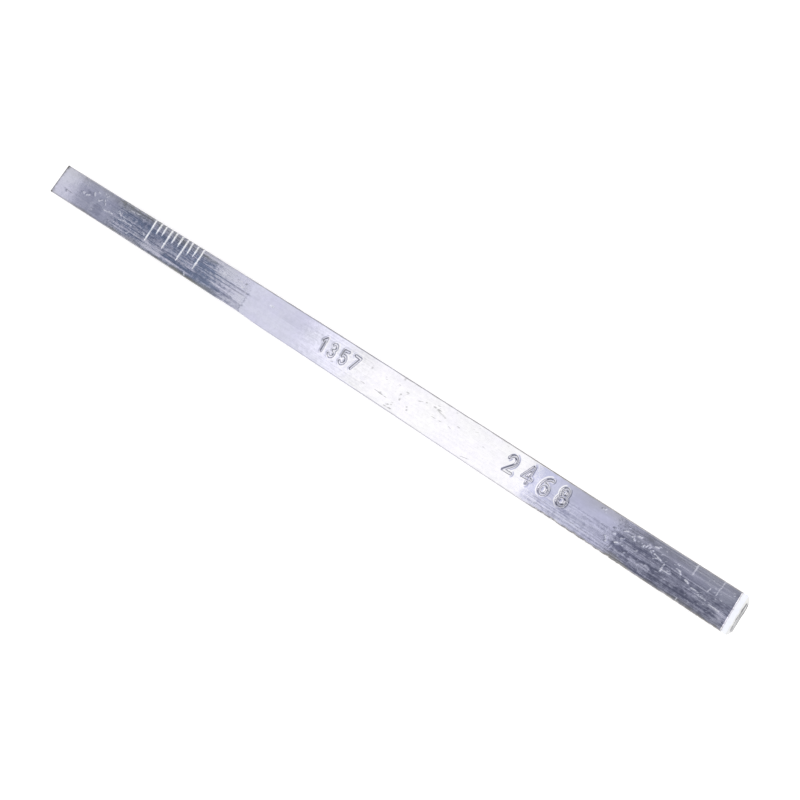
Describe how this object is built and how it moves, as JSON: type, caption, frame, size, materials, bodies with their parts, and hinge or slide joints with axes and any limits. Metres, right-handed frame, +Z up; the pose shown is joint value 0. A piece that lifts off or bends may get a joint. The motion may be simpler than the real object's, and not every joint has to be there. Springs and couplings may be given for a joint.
{
  "type": "solder bar",
  "caption": "Long flat bar of soft solder alloy with a crisp flat face, softened lower edges and sheared ends, melted from its tip as filler stock.",
  "frame": {"origin": "centre of the footprint, on the surface that the bar lies on", "axes": "+X along the bar, away from the row of tick marks; +Y across the bar, towards the tops of the punched digits; +Z up, out of the flat face"},
  "size_m": [0.345, 0.0126, 0.007],
  "materials": {
    "solder_alloy": "drawn soft solder alloy: satin silver-grey with lengthwise die lines, dull oxide streaks, small nicks and rubbed patches"
  },
  "bodies": {
    "root": {"solder_bar": "solder_alloy"}
  },
  "joints": []
}
